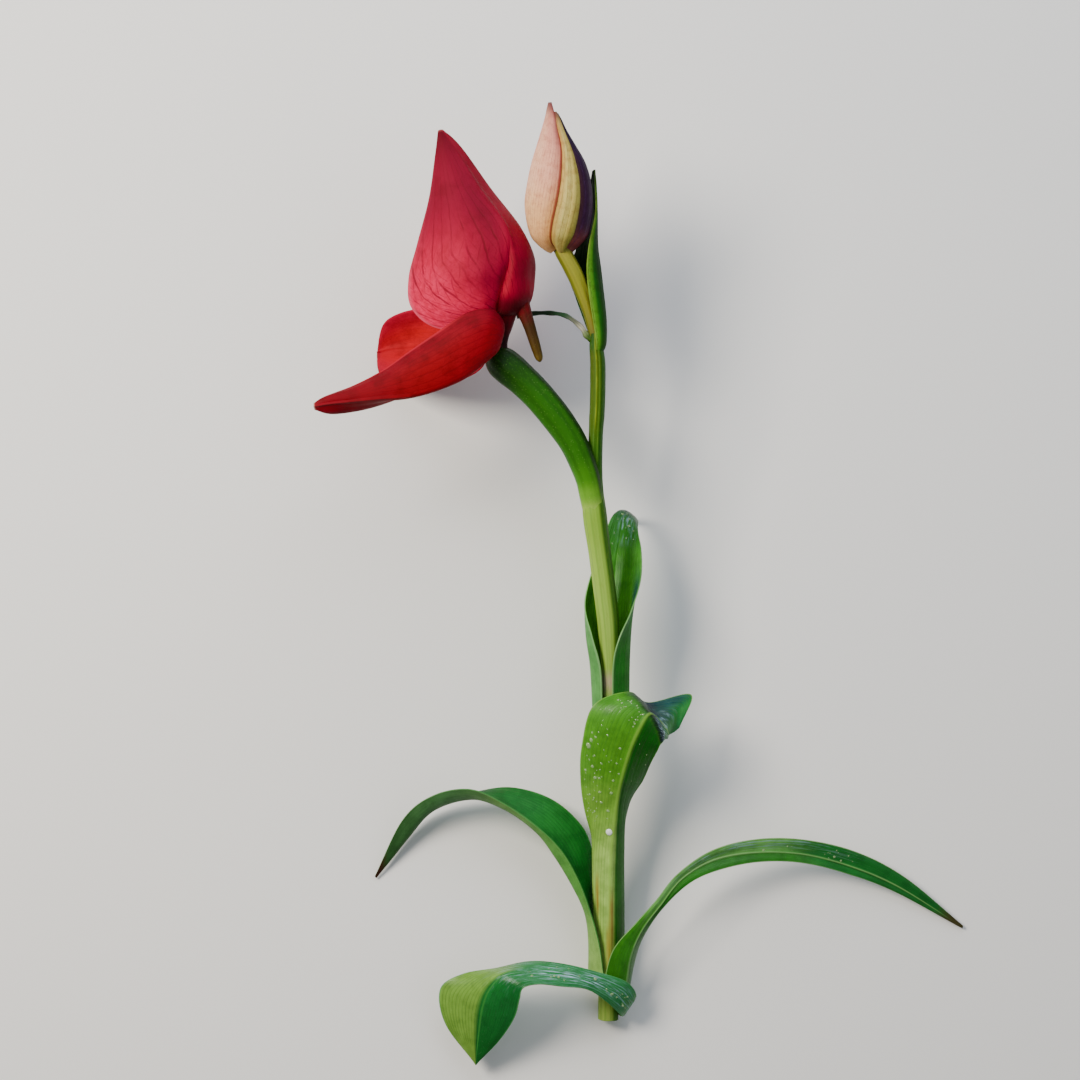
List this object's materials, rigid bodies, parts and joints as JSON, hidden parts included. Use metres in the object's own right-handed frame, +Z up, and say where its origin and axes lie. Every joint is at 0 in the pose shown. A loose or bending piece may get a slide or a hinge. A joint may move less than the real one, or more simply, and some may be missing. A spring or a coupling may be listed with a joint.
{
  "type": "cut disa orchid stem",
  "caption": "Picked stem of a red disa orchid lying down, with an open hooded bloom, a closed pale bud and arching strap leaves.",
  "frame": {"origin": "centre of the bounding box, on the surface that the stem lies on", "axes": "+Y up the stem from its cut end to the bud, +Z up from the surface, +X to the right as the picture shows the plant"},
  "size_m": [0.175, 0.2558, 0.0525],
  "materials": {
    "stem_green": "satin",
    "leaf_green": "waxy",
    "sepal_red": "soft",
    "petal_gold": "soft",
    "bud_cream": "soft",
    "bud_purple": "soft"
  },
  "bodies": {
    "root": {"stem": "stem_green", "leaf_upper": "leaf_green", "leaf_front": "leaf_green", "leaf_left": "leaf_green", "leaf_right": "leaf_green", "leaf_low": "leaf_green", "ovary": "stem_green", "column": "petal_gold", "hood": "sepal_red", "sepal_near": "sepal_red", "sepal_far": "sepal_red", "petal_near": "petal_gold", "petal_far": "petal_gold", "lip": "sepal_red", "side_bract": "stem_green", "bud_ovary": "stem_green", "bud_bract": "leaf_green", "bud_heart": "bud_cream", "bud_sepal_left": "bud_cream", "bud_sepal_right": "bud_cream", "bud_hood": "bud_purple"}
  },
  "joints": []
}
